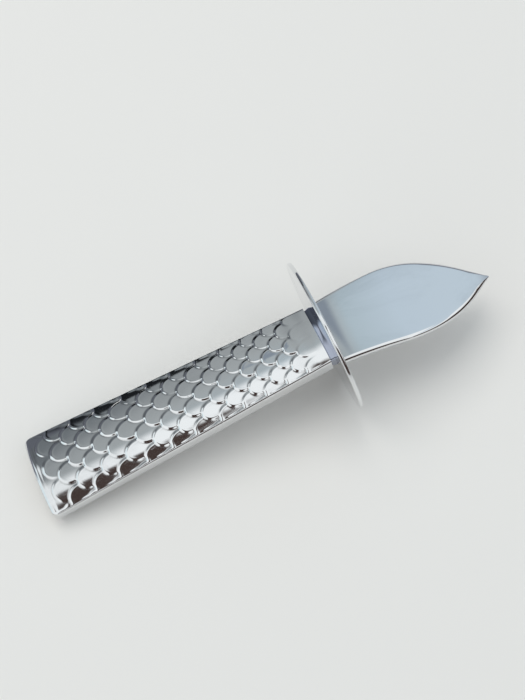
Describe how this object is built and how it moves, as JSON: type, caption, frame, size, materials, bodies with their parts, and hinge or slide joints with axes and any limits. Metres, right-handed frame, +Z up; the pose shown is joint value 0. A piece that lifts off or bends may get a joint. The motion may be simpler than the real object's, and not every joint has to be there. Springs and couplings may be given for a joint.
{
  "type": "oyster knife",
  "caption": "All-metal oyster knife with a flat tapered hollow handle, round disc hand guard and a short leaf-shaped blade that arches down.",
  "frame": {"origin": "on the table plane, under the middle of the knife's bounding box, with the knife lying on its guard's rim and its butt", "axes": "+X from the butt towards the blade's point, +Y across the handle, +Z up; the handle rises towards the guard and the blade falls away from it"},
  "size_m": [0.1662, 0.0522, 0.0514],
  "materials": {
    "blade_steel": "mirror-polished stainless steel with rounded blunt edges",
    "guard_steel": "mirror-polished stainless steel disc",
    "collar_steel": "mirror-polished stainless steel ferrule",
    "handle_steel": "polished stainless steel sheet, pressed with a fish-scale relief",
    "core_resin": "cast filled resin"
  },
  "bodies": {
    "root": {"blade": "blade_steel", "guard_disc": "guard_steel", "collar": "collar_steel", "handle_upper": "handle_steel", "handle_lower": "handle_steel", "butt_cap": "handle_steel", "handle_core": "core_resin"}
  },
  "joints": []
}
